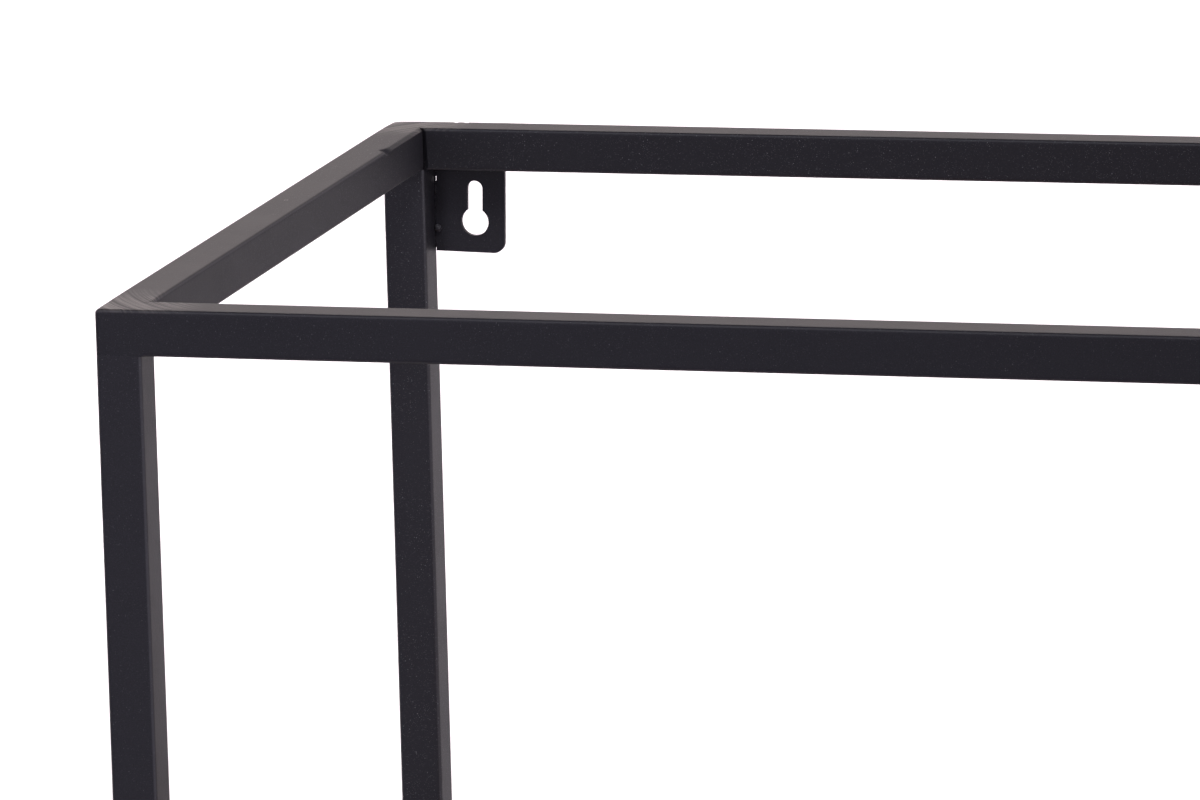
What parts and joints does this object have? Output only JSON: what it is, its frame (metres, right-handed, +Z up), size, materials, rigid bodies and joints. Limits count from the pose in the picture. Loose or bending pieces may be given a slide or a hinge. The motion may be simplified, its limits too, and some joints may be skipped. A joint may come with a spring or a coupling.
{
  "type": "desk hutch",
  "caption": "Open desk hutch: welded frame of square black steel tube, open at the top, with one inlaid oak shelf, keyhole hanging plates in the rear top corners and plastic foot plugs.",
  "frame": {"origin": "on the desk top, at the middle of the hutch's footprint, level with the undersides of the foot plugs", "axes": "+X along the width, to the right as seen from the open front; +Y from the open front to the wall side; +Z up"},
  "size_m": [1, 0.35, 0.7],
  "materials": {
    "powder_coat": "satin black powder coat on steel, fine texture",
    "oak": "oiled oak",
    "zinc": "zinc plated",
    "plastic": "black polyethylene"
  },
  "bodies": {
    "root": {"upright_front_left": "powder_coat", "upright_front_right": "powder_coat", "upright_rear_left": "powder_coat", "upright_rear_right": "powder_coat", "top_rail_front": "powder_coat", "top_rail_rear": "powder_coat", "top_rail_left": "powder_coat", "top_rail_right": "powder_coat", "shelf_rail_front": "powder_coat", "shelf_rail_rear": "powder_coat", "shelf_rail_left": "powder_coat", "shelf_rail_right": "powder_coat", "base_rail_rear": "powder_coat", "base_rail_left": "powder_coat", "base_rail_right": "powder_coat", "hanging_plate_left": "powder_coat", "hanging_plate_right": "powder_coat", "shelf_strap_left": "powder_coat", "shelf_strap_centre": "powder_coat", "shelf_strap_right": "powder_coat", "shelf_board": "oak", "shelf_screw_left_front": "zinc", "shelf_screw_left_rear": "zinc", "shelf_screw_centre_front": "zinc", "shelf_screw_centre_rear": "zinc", "shelf_screw_right_front": "zinc", "shelf_screw_right_rear": "zinc", "foot_plug_front_left": "plastic", "foot_plug_front_right": "plastic", "foot_plug_rear_left": "plastic", "foot_plug_rear_right": "plastic"}
  },
  "joints": []
}
